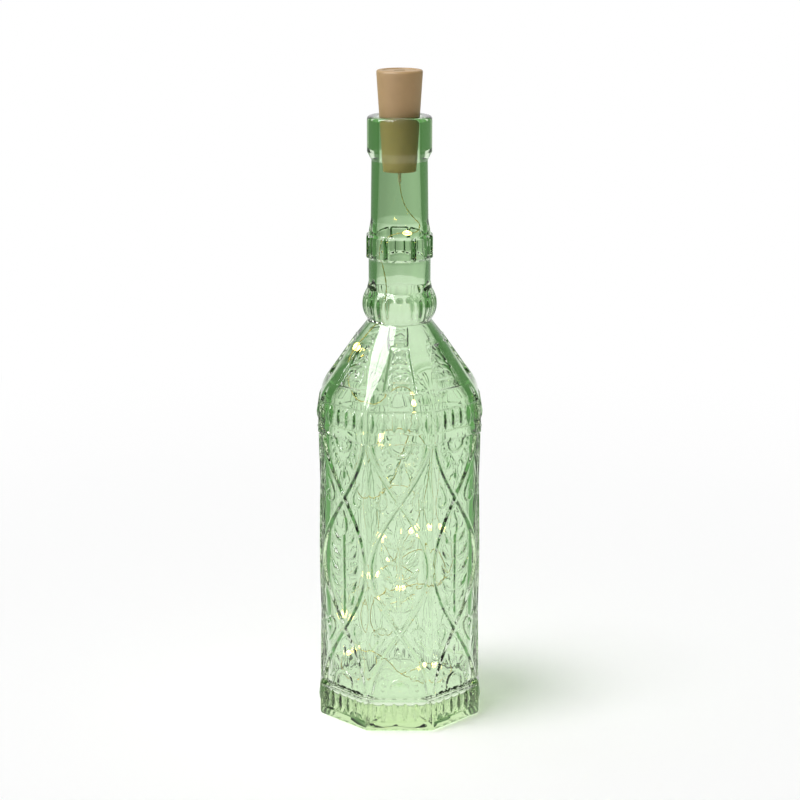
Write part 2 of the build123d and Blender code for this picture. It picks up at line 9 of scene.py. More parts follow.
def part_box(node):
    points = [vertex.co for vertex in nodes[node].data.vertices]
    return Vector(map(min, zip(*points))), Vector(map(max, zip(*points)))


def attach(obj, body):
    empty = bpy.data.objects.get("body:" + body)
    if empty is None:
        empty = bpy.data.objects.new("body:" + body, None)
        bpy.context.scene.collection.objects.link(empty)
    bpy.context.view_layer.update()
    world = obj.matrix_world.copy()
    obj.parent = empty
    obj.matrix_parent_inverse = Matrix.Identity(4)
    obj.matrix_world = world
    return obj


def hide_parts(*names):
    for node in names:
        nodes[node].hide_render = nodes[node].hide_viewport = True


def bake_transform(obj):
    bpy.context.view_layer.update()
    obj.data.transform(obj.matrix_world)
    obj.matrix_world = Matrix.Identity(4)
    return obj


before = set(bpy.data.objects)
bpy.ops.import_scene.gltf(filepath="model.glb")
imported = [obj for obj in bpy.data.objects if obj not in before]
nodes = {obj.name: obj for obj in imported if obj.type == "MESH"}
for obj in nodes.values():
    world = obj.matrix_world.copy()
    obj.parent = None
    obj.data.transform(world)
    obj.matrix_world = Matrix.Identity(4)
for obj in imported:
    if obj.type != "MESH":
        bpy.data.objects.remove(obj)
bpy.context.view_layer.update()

# The camera stands 1.09 m in front of the bottle and 0.44 m up, and looks 14.2 degrees down at it
# through a long lens, as the photograph was taken. Its middle is a hair to the right of the axis.
scene = bpy.context.scene
scene.view_settings.view_transform = "Standard"
camera = bpy.data.objects.new("camera", bpy.data.cameras.new("camera"))
camera.data.lens = 98.82
camera.data.sensor_width = 36
camera.data.sensor_fit = "HORIZONTAL"
camera.data.clip_start = 0.05
camera.location = (0.0002, -1.088, 0.440)
camera.rotation_euler = (math.radians(90 - 14.2), 0, 0)
scene.collection.objects.link(camera)
scene.camera = camera

# The string's wire: two fine enamelled copper strands twisted together, bent by hand into loose
# loops that stand up from the bottle's floor. It hangs from the stopper and keeps its bends. When
# the stopper is lifted, what is above the shoulder follows it through the neck.
wire_route = [
    (0.0000, 0.0000, 0.2770),
    (0.0006, -0.0005, 0.2715),
    (0.0024, -0.0012, 0.2655),
    (0.0065, -0.0022, 0.2596),
    (0.0103, -0.0030, 0.2562),
    (0.0088, -0.0032, 0.2510),
    (-0.0016, -0.0030, 0.2515),
    (-0.0070, -0.0036, 0.2482),
    (-0.0090, -0.0036, 0.2415),
    (-0.0074, -0.0032, 0.2338),
    (-0.0064, -0.0030, 0.2256),
    (-0.0072, -0.0038, 0.2165),
    (-0.0086, -0.0032, 0.2086),
    (-0.0142, -0.0054, 0.2020),
    (-0.0236, -0.0088, 0.1905),
    (-0.0270, -0.0145, 0.1785),
    (-0.0215, -0.0210, 0.1690),
    (-0.0100, -0.0235, 0.1690),
    (-0.0010, -0.0230, 0.1790),
    (0.0088, -0.0204, 0.1750),
    (0.0076, -0.0174, 0.1602),
    (0.0024, -0.0200, 0.1455),
    (-0.0020, -0.0212, 0.1320),
    (-0.0086, -0.0246, 0.1215),
    (-0.0180, -0.0256, 0.1195),
    (-0.0225, -0.0225, 0.1295),
    (-0.0175, -0.0210, 0.1436),
    (-0.0040, -0.0232, 0.1570),
    (0.0065, -0.0260, 0.1560),
    (0.0155, -0.0235, 0.1485),
    (0.0200, -0.0195, 0.1360),
    (0.0170, -0.0170, 0.1225),
    (0.0126, -0.0154, 0.1094),
    (0.0260, -0.0170, 0.0954),
    (0.0275, -0.0185, 0.0840),
    (0.0205, -0.0200, 0.0735),
    (0.0085, -0.0205, 0.0690),
    (-0.0010, -0.0230, 0.0780),
    (-0.0008, -0.0262, 0.0932),
    (0.0125, -0.0226, 0.1115),
    (0.0080, -0.0165, 0.1220),
    (-0.0030, -0.0125, 0.1245),
    (-0.0130, -0.0095, 0.1175),
    (-0.0136, -0.0102, 0.1054),
    (-0.0044, -0.0178, 0.0852),
    (0.0055, -0.0146, 0.0786),
    (0.0115, -0.0100, 0.0695),
    (0.0035, -0.0076, 0.0605),
    (-0.0085, -0.0086, 0.0565),
    (-0.0185, -0.0106, 0.0600),
    (-0.0210, -0.0150, 0.0705),
    (-0.0035, -0.0132, 0.0825),
    (0.0075, -0.0160, 0.0900),
    (0.0185, -0.0220, 0.0925),
    (0.0230, -0.0260, 0.0835),
    (0.0200, -0.0285, 0.0740),
    (0.0098, -0.0274, 0.0764),
    (-0.0092, -0.0246, 0.0694),
    (-0.0185, -0.0220, 0.0615),
    (-0.0175, -0.0245, 0.0500),
    (-0.0070, -0.0220, 0.0440),
    (-0.0015, -0.0140, 0.0485),
    (-0.0085, -0.0075, 0.0540),
    (-0.0140, -0.0025, 0.0620),
    (-0.0215, -0.0020, 0.0665),
    (-0.0268, -0.0086, 0.0614),
    (-0.0286, -0.0194, 0.0468),
    (-0.0205, -0.0170, 0.0385),
    (-0.0120, -0.0145, 0.0280),
    (-0.0155, -0.0090, 0.0165),
    (-0.0265, -0.0105, 0.0170),
    (-0.0310, -0.0155, 0.0310),
    (-0.0190, -0.0285, 0.0414),
    (-0.0075, -0.0295, 0.0365),
    (-0.0015, -0.0240, 0.0265),
    (0.0080, -0.0155, 0.0180),
    (0.0200, -0.0115, 0.0155),
    (0.0275, -0.0145, 0.0225),
    (0.0236, -0.0186, 0.0306),
    (0.0070, -0.0214, 0.0272),
    (0.0005, -0.0175, 0.0225),
]
mm = 0.001
strand_radius = 0.14 * mm
strand_offset = 0.15 * mm
strand_pitch = 7 * mm
strand_sides = 6


def add_node(tree, kind, inputs=(), **settings):
    """Add a shader node with its settings; inputs gives each socket a value or another's output."""
    made = tree.nodes.new("ShaderNode" + kind)
    for name, value in settings.items():
        setattr(made, name, value)
    for socket, value in dict(inputs).items():
        if isinstance(value, bpy.types.NodeSocket):
            tree.links.new(value, made.inputs[socket])
        else:
            made.inputs[socket].default_value = value
    return made


def linear(text):
    """A colour written as sRGB hex, as the linear value that a socket takes."""
    parts = [int(text[at:at + 2], 16) / 255 for at in (1, 3, 5)]
    return [part / 12.92 if part <= 0.04045 else ((part + 0.055) / 1.055) ** 2.4 for part in parts] + [1]


def new_material(name):
    """A material with an empty tree, and that tree."""
    material = bpy.data.materials.new(name)
    material.use_nodes = True
    material.node_tree.nodes.clear()
    return material, material.node_tree


def new_piece(name, mesh, material):
    """A smooth piece at the origin from a finished mesh."""
    mesh.materials.clear()
    mesh.materials.append(material)
    mesh.shade_smooth()
    piece = bpy.data.objects.new(name, mesh)
    scene.collection.objects.link(piece)
    return piece


wire_line = bpy.data.curves.new("wire_line", "CURVE")
wire_line.dimensions = "3D"
wire_spline = wire_line.splines.new("NURBS")
wire_spline.points.add(len(wire_route) - 1)
turned_length = 0
for number, (point, place) in enumerate(zip(wire_spline.points, wire_route)):
    turned_length += math.dist(place, wire_route[max(number - 1, 0)])
    point.co = (*place, 1)
    point.tilt = turned_length / strand_pitch * 2 * math.pi
wire_spline.order_u = 3
wire_spline.use_endpoint_u = True
wire_spline.resolution_u = 24
wire_holder = bpy.data.objects.new("wire_line", wire_line)
scene.collection.objects.link(wire_holder)
wire_path_mesh = bpy.data.meshes.new_from_object(wire_holder)
wire_path = [vertex.co.copy() for vertex in wire_path_mesh.vertices]

strand_section = bpy.data.curves.new("strand_section", "CURVE")
for side in (-1, 1):
    ring = strand_section.splines.new("POLY")
    ring.points.add(strand_sides - 1)
    ring.use_cyclic_u = True
    for number, point in enumerate(ring.points):
        turn = number * 2 * math.pi / strand_sides
        sideways = side * strand_offset + strand_radius * math.cos(turn)
        point.co = (sideways, strand_radius * math.sin(turn), 0, 1)
section_holder = bpy.data.objects.new("strand_section", strand_section)
scene.collection.objects.link(section_holder)
wire_line.bevel_mode = "OBJECT"
wire_line.bevel_object = section_holder
wire_line.use_fill_caps = True
bpy.context.view_layer.update()
graph = bpy.context.evaluated_depsgraph_get()
wire_mesh = bpy.data.meshes.new_from_object(wire_holder.evaluated_get(graph), depsgraph=graph)
bpy.data.objects.remove(wire_holder)
bpy.data.objects.remove(section_holder)

# Clear polyurethane enamel over copper: warm metal under a thin gloss, a little uneven in tone
enamel, tree = new_material("enamelled_copper_wire")
place = add_node(tree, "TexCoord").outputs["Object"]
tone = add_node(tree, "TexNoise", {"Vector": place, "Scale": 1 / (9 * mm), "Detail": 2})
shade = add_node(
    tree,
    "Mix",
    {0: tone.outputs[0], 6: linear("#dfb765"), 7: linear("#f8e2a6")},
    data_type="RGBA",
)
metal = add_node(
    tree,
    "BsdfPrincipled",
    {
        "Base Color": shade.outputs[2],
        "Metallic": 0.85,
        "Roughness": 0.32,
        "Coat Weight": 0.6,
        "Coat Roughness": 0.12,
    },
)
add_node(tree, "OutputMaterial", {"Surface": metal.outputs[0]})
wire = new_piece("string_wire", wire_mesh, enamel)
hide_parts("light_wire")

# Twelve light chips, each soldered to the wire inside its drop. They burn a warm white that the
# eye and the camera see as glare.
chip_size = Vector((0.6, 0.4, 1.0)) * mm
chip_offset = 0.55 * mm
chip_edge = 0.06 * mm
# Two lights that the photograph shows a few millimetres further along the wire
slid_lights = {"led_drop_02": (-4.3, -1.0, -3.0), "led_drop_03": (1.4, 0, -2.3)}


def place_on_wire(node):
    """The frame that carries a light, at the point of the wire nearest to the CAD node's place."""
    low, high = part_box(node)
    middle = (low + high) / 2 + Vector(slid_lights.get(node, (0, 0, 0))) * mm
    at = min(range(1, len(wire_path) - 1), key=lambda number: (wire_path[number] - middle).length)
    along = (wire_path[at + 1] - wire_path[at - 1]).normalized()
    return Matrix.Translation(wire_path[at]) @ along.to_track_quat("Z", "Y").to_matrix().to_4x4()


def mesh_of(shape, name):
    """The mesh of a bmesh that is done with, its normals outwards."""
    bmesh.ops.recalc_face_normals(shape, faces=shape.faces)
    mesh = bpy.data.meshes.new(name)
    shape.to_mesh(mesh)
    shape.free()
    return mesh


drop_names = [name for name in sorted(nodes) if name.startswith("led_drop_")]
light_places = [place_on_wire(name) for name in drop_names]
chips = bmesh.new()
for place in light_places:
    made = bmesh.ops.create_cube(chips, size=1)["verts"]
    bmesh.ops.scale(chips, vec=chip_size, verts=made)
    bmesh.ops.translate(chips, vec=(0, chip_offset, 0), verts=made)
    bmesh.ops.transform(chips, matrix=place, verts=made)
bmesh.ops.bevel(
    chips,
    geom=chips.edges[:],
    offset=chip_edge,
    offset_type="OFFSET",
    segments=1,
    profile=0.5,
    affect="EDGES",
    material=-1,
)
# Phosphor over a blue diode: matt yellow by itself, warm white and very bright when lit
phosphor, tree = new_material("lit_phosphor")
glow = add_node(
    tree,
    "BsdfPrincipled",
    {
        "Base Color": linear("#f4d67a"),
        "Roughness": 0.6,
        "Emission Color": linear("#ffe7a3"),
        "Emission Strength": 80,
    },
)
add_node(tree, "OutputMaterial", {"Surface": glow.outputs[0]})
light_chips = new_piece("light_chips", mesh_of(chips, "light_chips"), phosphor)
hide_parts("led_chips")

# A drop of clear resin seals each chip to the wire. It is poured and hangs a little while it sets,
# so each is a lemon shape with drawn-out ends, and its light fills it.
drop_radius = 1.3 * mm
drop_half_length = 2.2 * mm
drop_narrowing = 0.3
# Clear cast epoxy: glossy and faintly yellow. Its glow is painted in as emission, standing in for the chip's
# light scattered all through it
resin, tree = new_material("clear_epoxy_drop")
clear = add_node(
    tree,
    "BsdfPrincipled",
    {
        "Base Color": linear("#fff8e0"),
        "Roughness": 0.05,
        "IOR": 1.52,
        "Transmission Weight": 1.0,
        "Emission Color": linear("#ffe27a"),
        "Emission Strength": 2.2,
    },
)
light_path = add_node(tree, "LightPath")
open_resin = add_node(tree, "BsdfTransparent", {"Color": linear("#fffbea")})
either = add_node(
    tree,
    "MixShader",
    {0: light_path.outputs["Is Shadow Ray"], 1: clear.outputs[0], 2: open_resin.outputs[0]},
)
add_node(tree, "OutputMaterial", {"Surface": either.outputs[0]})
drops = []
for name, place in zip(drop_names, light_places):
    shape = bmesh.new()
    bmesh.ops.create_uvsphere(shape, u_segments=16, v_segments=12, radius=1)
    for vertex in shape.verts:
        thickness = 1 - drop_narrowing * abs(vertex.co.z) ** 1.5
        vertex.co.x *= thickness * drop_radius
        vertex.co.y *= thickness * drop_radius
        vertex.co.z *= drop_half_length
    bmesh.ops.transform(shape, matrix=place, verts=shape.verts)
    drop = new_piece(name.replace("led", "resin"), mesh_of(shape, name), resin)
    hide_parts(name)
    drops.append(drop)
for piece in [wire, light_chips] + drops:
    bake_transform(piece)

# The bottle is one piece of recycled glass, pressed and blown in an eight-sided mould that gives
# it its relief: outside it is crisp, inside it is smooth and slightly wavy. Sizes are in millimetres.
side_count = 8
columns_per_face = 72
body_step = 0.52
neck_step = 1.6
inside_step = 3.5
bend_step = 0.5
neck_column_step = 3
inside_column_step = 6
glass_triangles = 194000
weld_distance = 0.002
base_rim = 0.2
waist = 202
# Each corner of the outline: its distance from the axis, its height, its bend's radius, and how round
# the section is there, from 0 for an octagon to 1 for a circle
glass_body = [
    (0, 1.5, 0, 1),
    (15, 1.1, 30, 1),
    (29, 0, 1, 1),
    (41.2, 0, 2.5, 0.04),
    (41.2, 17.6, 0.8, 0.04),
    (39.7, 20.2, 0.8, 0.04),
    (39.7, 151.4, 0.3, 0.04),
    (41.2, 152.5, 0.4, 0.04),
    (41.2, 169.6, 26.9, 0.16),
    (22.9, 198, 4, 0.75),
    (19.4, 202.6, 0, 0.9),
]
glass_neck = [
    (19.4, 202.6, 0, 0.9),
    (15.95, 207.2, 1.3, 1),
    (21.1, 215.1, 13.6, 1),
    (16.5, 223, 2.2, 1),
    (15.6, 227, 1, 1),
    (15.6, 238.7, 0.6, 1),
    (16.65, 239.8, 1.0, 0.3),
    (16.65, 250.1, 1.0, 0.3),
    (15.6, 251.2, 0.8, 1),
    (14.45, 258, 7, 1),
    (14.05, 288, 0.7, 1),
    (16.2, 292.2, 0.9, 1),
    (16.2, 310, 1.9, 1),
    (10.25, 310, 1.4, 1),
]
glass_inside = [
    (10.25, 310, 1.4, 1),
    (10.25, 286, 8, 1),
    (11.15, 258, 8, 1),
    (12.3, 245, 8, 1),
    (12.65, 215.4, 5, 1),
    (12.65, 208.7, 5, 1),
    (19.9, 198, 8, 1),
    (33.9, 176.3, 14, 1),
    (36.4, 169, 12, 0.6),
    (36.4, 150, 0, 0.36),
    (36.4, 11, 8, 0.36),
    (20, 11.6, 20, 1),
    (0, 12.6, 0, 1),
]


def rounded_line(corners, step):
    """Rows of (distance, height, roundness) along a line whose corners are turned by their bends."""
    rows = [corners[0][:2] + corners[0][3:]]
    for before, at, after in zip(corners, corners[1:], corners[2:]):
        place = Vector(at[:2])
        back = (Vector(before[:2]) - place).normalized()
        ahead = (Vector(after[:2]) - place).normalized()
        turn = math.pi - back.angle(ahead)
        trim = at[2] * math.tan(turn / 2)
        start = place + back * trim
        end = place + ahead * trim
        count = max(1, math.ceil(at[2] * turn / min(step, bend_step)))
        for number in range(count + 1):
            share = number / count
            mixed = start.lerp(place, share).lerp(place.lerp(end, share), share)
            rows.append((mixed.x, mixed.y, at[3]))
    rows.append(corners[-1][:2] + corners[-1][3:])
    filled = [rows[0]]
    for start, end in zip(rows, rows[1:]):
        count = max(1, math.ceil(math.dist(start[:2], end[:2]) / step))
        for number in range(1, count + 1):
            filled.append(tuple(a + (b - a) * number / count for a, b in zip(start, end)))
    return np.array(filled)


# The body has the finest rows and columns, for its relief; the neck and the inside have fewer
stretches = [
    (rounded_line(glass_body, body_step), 1),
    (rounded_line(glass_neck, neck_step)[1:], neck_column_step),
    (rounded_line(glass_inside, inside_step)[1:], inside_column_step),
]
glass_rows = np.vstack([rows for rows, _ in stretches])
column_steps = np.concatenate([[step] * len(rows) for rows, step in stretches])
body_count = len(stretches[0][0])
outside_count = body_count + len(stretches[1][0])

# The relief of one face as strokes: points across and up the face, widths at them, and how far they
# stand. The face is the same on both sides of its middle, so across counts outwards.
rib_reach = 14.8
rib_stand = 1.25
crossing = 52
crossing_step = 69.4
rib_heights = np.linspace(20.9, 150.7, 136)
rib_across = rib_reach * np.abs(np.sin(np.pi * (rib_heights - crossing) / crossing_step))
strokes = [(np.column_stack([rib_across, rib_heights]), [2.9, 2.9], rib_stand)]
# Under the ribs' lower crossing an arch with seeds round it, and beside the crossing a scroll; the
# same stands upside down above the upper crossing
arch_radius = 5.3
arch_centre = 22.4
arch = [(arch_radius, 20.4)] + [
    (arch_radius * math.cos(turn), arch_centre + arch_radius * math.sin(turn))
    for turn in np.linspace(0, math.pi / 2, 9)
]
scroll = [
    (11.4, 42.6),
    (8.8, 46.2),
    (7.0, 50.0),
    (6.8, 53.0),
    (8.2, 55.1),
    (10.4, 55.2),
    (12.1, 53.4),
    (12.0, 51.4),
    (11.0, 50.6),
]
half_lens = [
    (arch, [1.7, 1.7], 0.8),
    ([(0, 33.2), (0, 34.6), (0, 35.8)], [0.5, 1.5, 0.8], 0.6),
    ([(0, 36.6), (0, 39), (0, 41.4)], [0.9, 1.9, 2.1], 0.8),
    ([(3.7, 32.2), (4.8, 33.8), (5.9, 35.3)], [0.9, 2.1, 1.6], 0.8),
    ([(6.4, 27.7), (7.1, 28.6), (7.9, 29.5)], [1.2, 2.0, 1.6], 0.7),
    ([(8.0, 25.0), (8.2, 25.4)], [1.8, 1.8], 0.65),
    ([(8.7, 22.3), (8.9, 22.7)], [1.7, 1.7], 0.65),
    (scroll, [1.0, 1.4, 1.6, 1.6, 1.5, 1.5, 1.5, 1.6, 2.0], 0.8),
]
face_middle = 86.7
for points, widths, stand in half_lens:
    strokes.append((points, widths, stand))
    strokes.append(([(across, 2 * face_middle - up) for across, up in points], widths, stand))
# The sprig between the crossings: a stem, five pairs of leaves and a single one at its tip
strokes.append(([(0, 57.5), (0, 61), (0, 101)], [0.6, 2.1, 2.1], 0.95))
leaf_reach = 9.4
leaf_rise = 6.0
leaf_middle_rise = 5
for up in (64.2, 72.6, 81.0, 89.3, 97.3):
    reach = leaf_reach * math.sin(math.pi * (up + leaf_middle_rise - crossing) / crossing_step)
    leaf = [(0.3, up), (0.4 * reach, up + 0.3), (0.75 * reach, up + 2.2), (reach, up + leaf_rise)]
    strokes.append((leaf, [1.0, 1.7, 3.0, 1.4], 1.0))
single_leaf = ([(0.3, 101.5), (1.5, 105), (1.3, 109.5), (-0.5, 113.8)], [1.2, 2.6, 2.3, 1.6], 0.85)
# Six upright flutes on each face of both bands, in a shallow field
flute_stand = 0.72
flute_half_height = 4.8
flute_field_depth = 0.55
band_middles = (10.9, 163)
widest = 41.9
for up in band_middles:
    for across in (2.8, 8.4, 14.0):
        oval = [(across, up + flute_half_height * share) for share in (-1, -0.5, 0, 0.5, 1)]
        strokes.append((oval, [0.9, 2.3, 2.8, 2.3, 0.9], flute_stand + flute_field_depth))
# In each sunk panel of the shoulder a small plant: its base line, a bow on it, and three tiers
bow_radius = 2.3
bow_centre = (2.6, 183.4)
bow = [
    (bow_centre[0] + bow_radius * math.cos(turn), bow_centre[1] + bow_radius * math.sin(turn))
    for turn in np.linspace(0, math.pi, 9)
]
panel_depth = 1.4
panel_edge = 0.6
strokes += [
    ([(0, 181.6), (4.4, 181.6)], [1.7, 1.7], 0.6),
    (bow, [1.0, 1.0], 0.6),
    ([(0.8, 188.9), (3.5, 188.4), (6.0, 186.9)], [1.0, 1.2, 0.8], 0.6),
    ([(0.6, 193.2), (2.6, 191.4), (3.6, 191.0)], [1.2, 1.2, 0.8], 0.6),
    ([(0.6, 196.6), (2.2, 195.4)], [1.2, 1.0], 0.6),
    ([(0, 199.4), (2.4, 199.4)], [1.2, 1.2], 0.4),
]


def stroke_height(across, up, points, widths, stand):
    """How far a stroke raises the face at each place."""
    points = np.asarray(points, float)
    widths = np.interp(np.linspace(0, 1, len(points)), np.linspace(0, 1, len(widths)), widths)
    raised = np.zeros(across.shape)
    near = (up > points[:, 1].min() - 2) & (up < points[:, 1].max() + 2)
    x, z = across[near], up[near]
    best = np.zeros(x.shape)
    for start, end, first, last in zip(points, points[1:], widths, widths[1:]):
        run = end - start
        share = np.clip(((x - start[0]) * run[0] + (z - start[1]) * run[1]) / (run @ run), 0, 1)
        width = first + share * (last - first)
        away = np.hypot(x - start[0] - share * run[0], z - start[1] - share * run[1])
        top = width / widths.max() * (1 - np.clip(2 * away / width, 0, 1) ** 2)
        best = np.maximum(best, top)
    raised[near] = stand * best
    return raised


def soft_step(value, start, end):
    """0 before start, 1 after end, and smooth between them."""
    share = np.clip((value - start) / (end - start), 0, 1)
    return share * share * (3 - 2 * share)


def relief_radius(height):
    """Halfway through the wall at a height below the neck: what lies further out is the outer skin."""
    return np.interp(height, [0, 10, 20, 150, 170, 202], [0, 38.4, 38.2, 38.2, 38.6, 17.6])


# Every row and column of the skin, worked out for one face and turned round eight times
distance, height, roundness = glass_rows.T[:, :, None]
half_turn = math.pi / side_count
across_share = np.arange(columns_per_face)[None, :] / columns_per_face * 2 - 1
angle = np.arctan(across_share * math.tan(half_turn))
bend = roundness * distance
corner_centre = (distance - bend) / math.cos(half_turn)
from_corner = half_turn - np.abs(angle)
on_bend = corner_centre * np.cos(from_corner) + np.sqrt(
    np.maximum(bend**2 - (corner_centre * np.sin(from_corner)) ** 2, 0)
)
on_flat = distance / np.cos(angle)
flat_limit = (distance - bend) * math.tan(half_turn)
radius = np.where(on_flat * np.abs(np.sin(angle)) <= flat_limit, on_flat, on_bend)
across = radius * np.sin(angle)
outwards = radius * np.cos(angle)
up = np.broadcast_to(height, across.shape)

outer = slice(0, outside_count)
raised = np.zeros(across.shape)
top_layer = np.zeros(across[outer].shape)
for points, widths, stand in strokes:
    top_layer = np.maximum(top_layer, stroke_height(np.abs(across[outer]), up[outer], points, widths, stand))
top_layer = np.maximum(top_layer, stroke_height(across[outer], up[outer], *single_leaf))
panel_half_width = np.interp(up[outer], [177.5, 197], [8.1, 4.2])
inside_panel = np.minimum(
    soft_step(panel_half_width - np.abs(across[outer]), -panel_edge, panel_edge),
    soft_step(up[outer], 176.9, 178.1) * soft_step(-up[outer], -197.6, -196.4),
)
# The field of each band's flutes
flute_field = np.zeros(top_layer.shape)
for middle in band_middles:
    beside = soft_step(-np.abs(across[outer]), -16.0, -15.4)
    flute_field = np.maximum(flute_field, beside * soft_step(-np.abs(up[outer] - middle), -5.9, -5.3))
# Twenty-four hollow flutes round the knop, and the eight slots that part the throat's blocks
knop_flute_count = 24
knop_flute_depth = 0.6
knop_flute_half_width = 1.9
slot_floor = 15.3
flute_turn = 2 * math.pi / knop_flute_count
flute_across = radius[outer] * (np.mod(angle + flute_turn / 2, flute_turn) - flute_turn / 2)
flute_reach = soft_step(up[outer], 208, 211) * soft_step(-up[outer], -221.5, -218.5)
flute_hollow = np.clip(1 - (flute_across / knop_flute_half_width) ** 2, 0, 1)
flute_depth = knop_flute_depth * flute_reach * flute_hollow
slot_across = radius[outer] * np.sin(from_corner)
in_ring = (up[outer] > 239) & (up[outer] < 251)
slot_depth = in_ring * np.clip(radius[outer] - slot_floor, 0, 3) * soft_step(-slot_across, -1.5, -0.5)
sunk = panel_depth * inside_panel + flute_field_depth * flute_field + flute_depth + slot_depth
# Nothing stands out further than the bands' flutes
raised[outer] = np.minimum(top_layer - sunk, widest - distance[outer])

# The relief stands square to the outline, and to the face or the bend that it is on
along = np.gradient(glass_rows[:, :2], axis=0)
along /= np.maximum(np.hypot(along[:, 0], along[:, 1]), 1e-9)[:, None]
out_share = along[:, 1][:, None]
up_share = -along[:, 0][:, None]
side_share = roundness * np.sin(angle)
front_share = 1 - roundness + roundness * np.cos(angle)
across = across + raised * out_share * side_share
outwards = outwards + raised * out_share * front_share
up = up + raised * up_share
face_turns = np.arange(side_count) * 2 * math.pi / side_count
skin_x = np.hstack([across * math.cos(turn) + outwards * math.sin(turn) for turn in face_turns])
skin_y = np.hstack([across * math.sin(turn) - outwards * math.cos(turn) for turn in face_turns])
skin_z = np.hstack([up] * side_count)
# Blown glass is never quite even inside: slow ripples round and up the wall
wall_turn = np.arctan2(skin_y, skin_x)
ripple = 0.13 * np.sin(5 * wall_turn + skin_z / 17) + 0.1 * np.sin(9 * wall_turn - skin_z / 11 + 1)
calm = soft_step(skin_z, 14, 24) * soft_step(-skin_z, -270, -230)
ripple_share = 1 + ripple * calm / np.maximum(np.hypot(skin_x, skin_y), 5)
ripple_share[outer] = 1
skin = np.stack([skin_x * ripple_share, skin_y * ripple_share, skin_z], axis=2) * mm

row_count, column_count = skin.shape[:2]
shape = bmesh.new()
bmesh.ops.create_grid(shape, x_segments=column_count, y_segments=row_count - 1, size=0.5)
for vertex in shape.verts:
    row = round((vertex.co.y + 0.5) * (row_count - 1))
    column = round((vertex.co.x + 0.5) * column_count) % column_count
    vertex.co = skin[row, column - column % column_steps[row]]
bmesh.ops.remove_doubles(shape, verts=shape.verts, dist=weld_distance * mm)
glass_mesh = mesh_of(shape, "pressed_glass")
glass_mesh.shade_smooth()
rough_cast = bpy.data.objects.new("rough_cast", glass_mesh)
scene.collection.objects.link(rough_cast)
# Only the body's outer skin is thinned out, where its relief leaves flat ground
thinned = [
    vertex.index
    for vertex in glass_mesh.vertices
    if vertex.co.z < base_rim * mm
    or (vertex.co.z < waist * mm and vertex.co.xy.length > relief_radius(vertex.co.z / mm) * mm)
]
with_relief = rough_cast.vertex_groups.new(name="with_relief")
with_relief.add(thinned, 1, "REPLACE")
thin = rough_cast.modifiers.new("thin", "DECIMATE")
thin.vertex_group = "with_relief"
thin.ratio = glass_triangles / sum(len(face.vertices) - 2 for face in glass_mesh.polygons)
# Flat ground keeps its flat shading beside the relief's narrow flanks
even = rough_cast.modifiers.new("even", "WEIGHTED_NORMAL")
even.mode = "FACE_AREA_WITH_ANGLE"
even.weight = 30
even.keep_sharp = False
bpy.context.view_layer.update()
graph = bpy.context.evaluated_depsgraph_get()
thin_mesh = bpy.data.meshes.new_from_object(
    rough_cast.evaluated_get(graph),
    preserve_all_data_layers=True,
    depsgraph=graph,
)
bpy.data.objects.remove(rough_cast)

# Pale green recycled glass: clear and fire-polished, with its colour only in its thickness, so that
# edges go dark green. Shadow rays pass straight through, tinted, because the lamps' light is not
# traced through the relief.
green_glass, tree = new_material("pressed_green_glass")
body = add_node(
    tree,
    "BsdfPrincipled",
    {"Base Color": linear("#ebf8e6"), "Roughness": 0.0, "IOR": 1.5, "Transmission Weight": 1.0},
)
light_path = add_node(tree, "LightPath")
shadow_tint = add_node(tree, "BsdfTransparent", {"Color": linear("#d2d8d0")})
surface = add_node(
    tree,
    "MixShader",
    {0: light_path.outputs["Is Shadow Ray"], 1: body.outputs[0], 2: shadow_tint.outputs[0]},
)
depth_colour = add_node(tree, "VolumeAbsorption", {"Color": linear("#cbf06c"), "Density": 8})
add_node(tree, "OutputMaterial", {"Surface": surface.outputs[0], "Volume": depth_colour.outputs[0]})
bottle = new_piece("pressed_glass_bottle", thin_mesh, green_glass)
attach(bottle, "bottle")
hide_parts("bottle")

# The stopper is moulded in tan plastic to look like a cork: a plain taper with a rounded top edge,
# hollow inside for the battery cartridge, with a small hole below for the string.
cork_outline = [
    (0.9, 282.5, 0),
    (8.27, 282.5, 0.6),
    (11.6, 332.5, 1.2),
    (8.15, 332.5, 0.3),
    (8.15, 329.7, 0),
    (7.1, 329.7, 0.15),
    (7.1, 296.5, 0.3),
    (0.9, 296.5, 0),
    (0.9, 282.5, 0),
]
cork_rows = rounded_line([(*corner, 1) for corner in cork_outline], 2)
shape = bmesh.new()
profile = [shape.verts.new((row[0] * mm, 0, row[1] * mm)) for row in cork_rows[:-1]]
edges = [shape.edges.new(pair) for pair in zip(profile, profile[1:] + profile[:1])]
bmesh.ops.spin(
    shape,
    geom=profile + edges,
    cent=(0, 0, 0),
    axis=(0, 0, 1),
    angle=2 * math.pi,
    steps=96,
    use_merge=True,
)
# Cork-coloured thermoplastic from a spark-eroded mould: matt and faintly mottled. Its grain is finer
# than a tenth of a millimetre, and is drawn at half a millimetre so that it shows
tan_plastic, tree = new_material("moulded_tan_plastic")
place = add_node(tree, "TexCoord").outputs["Object"]
mottle = add_node(tree, "TexNoise", {"Vector": place, "Scale": 1 / (4 * mm), "Detail": 3, "Roughness": 0.6})
tint = add_node(
    tree,
    "Mix",
    {0: mottle.outputs[0], 6: linear("#b39264"), 7: linear("#be9b6c")},
    data_type="RGBA",
)
grain = add_node(tree, "TexNoise", {"Vector": place, "Scale": 1 / (0.5 * mm), "Detail": 2})
texture = add_node(tree, "Bump", {"Strength": 0.25, "Distance": 0.08 * mm, "Height": grain.outputs[0]})
plastic = add_node(
    tree,
    "BsdfPrincipled",
    {
        "Base Color": tint.outputs[2],
        "Roughness": 0.48,
        "Subsurface Weight": 0.08,
        "Subsurface Radius": (0.002, 0.0012, 0.0008),
        "Normal": texture.outputs[0],
    },
)
